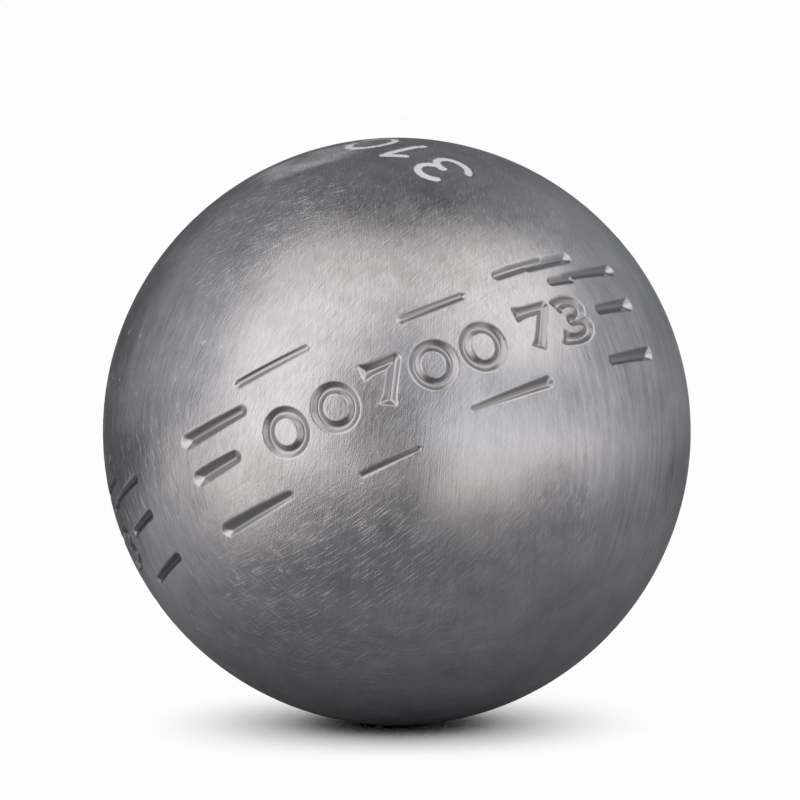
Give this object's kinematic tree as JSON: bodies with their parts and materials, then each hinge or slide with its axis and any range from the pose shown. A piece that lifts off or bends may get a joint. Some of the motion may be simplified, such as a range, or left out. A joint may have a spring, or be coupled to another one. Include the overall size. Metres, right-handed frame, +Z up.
{
  "type": "petanque boule",
  "caption": "Hollow steel petanque boule: half shells welded round the equator, ground to a true ball and stamped with broken rows of V-shaped dashes.",
  "frame": {"origin": "centre of the ball", "axes": "+Z up as the ball lies on the ground, +Y away from the side that faces the viewer, +X to the viewer's right; the weld's own axis leans 28.6 degrees from +Z"},
  "size_m": [0.073, 0.073, 0.073],
  "materials": {
    "shell_steel": "satin brushed stainless steel with fine scuffs",
    "weld_steel": "weld metal ground flush and brushed with the shell"
  },
  "bodies": {
    "root": {"upper_half_shell": "shell_steel", "lower_half_shell": "shell_steel", "weld_bead": "weld_steel"}
  },
  "joints": []
}
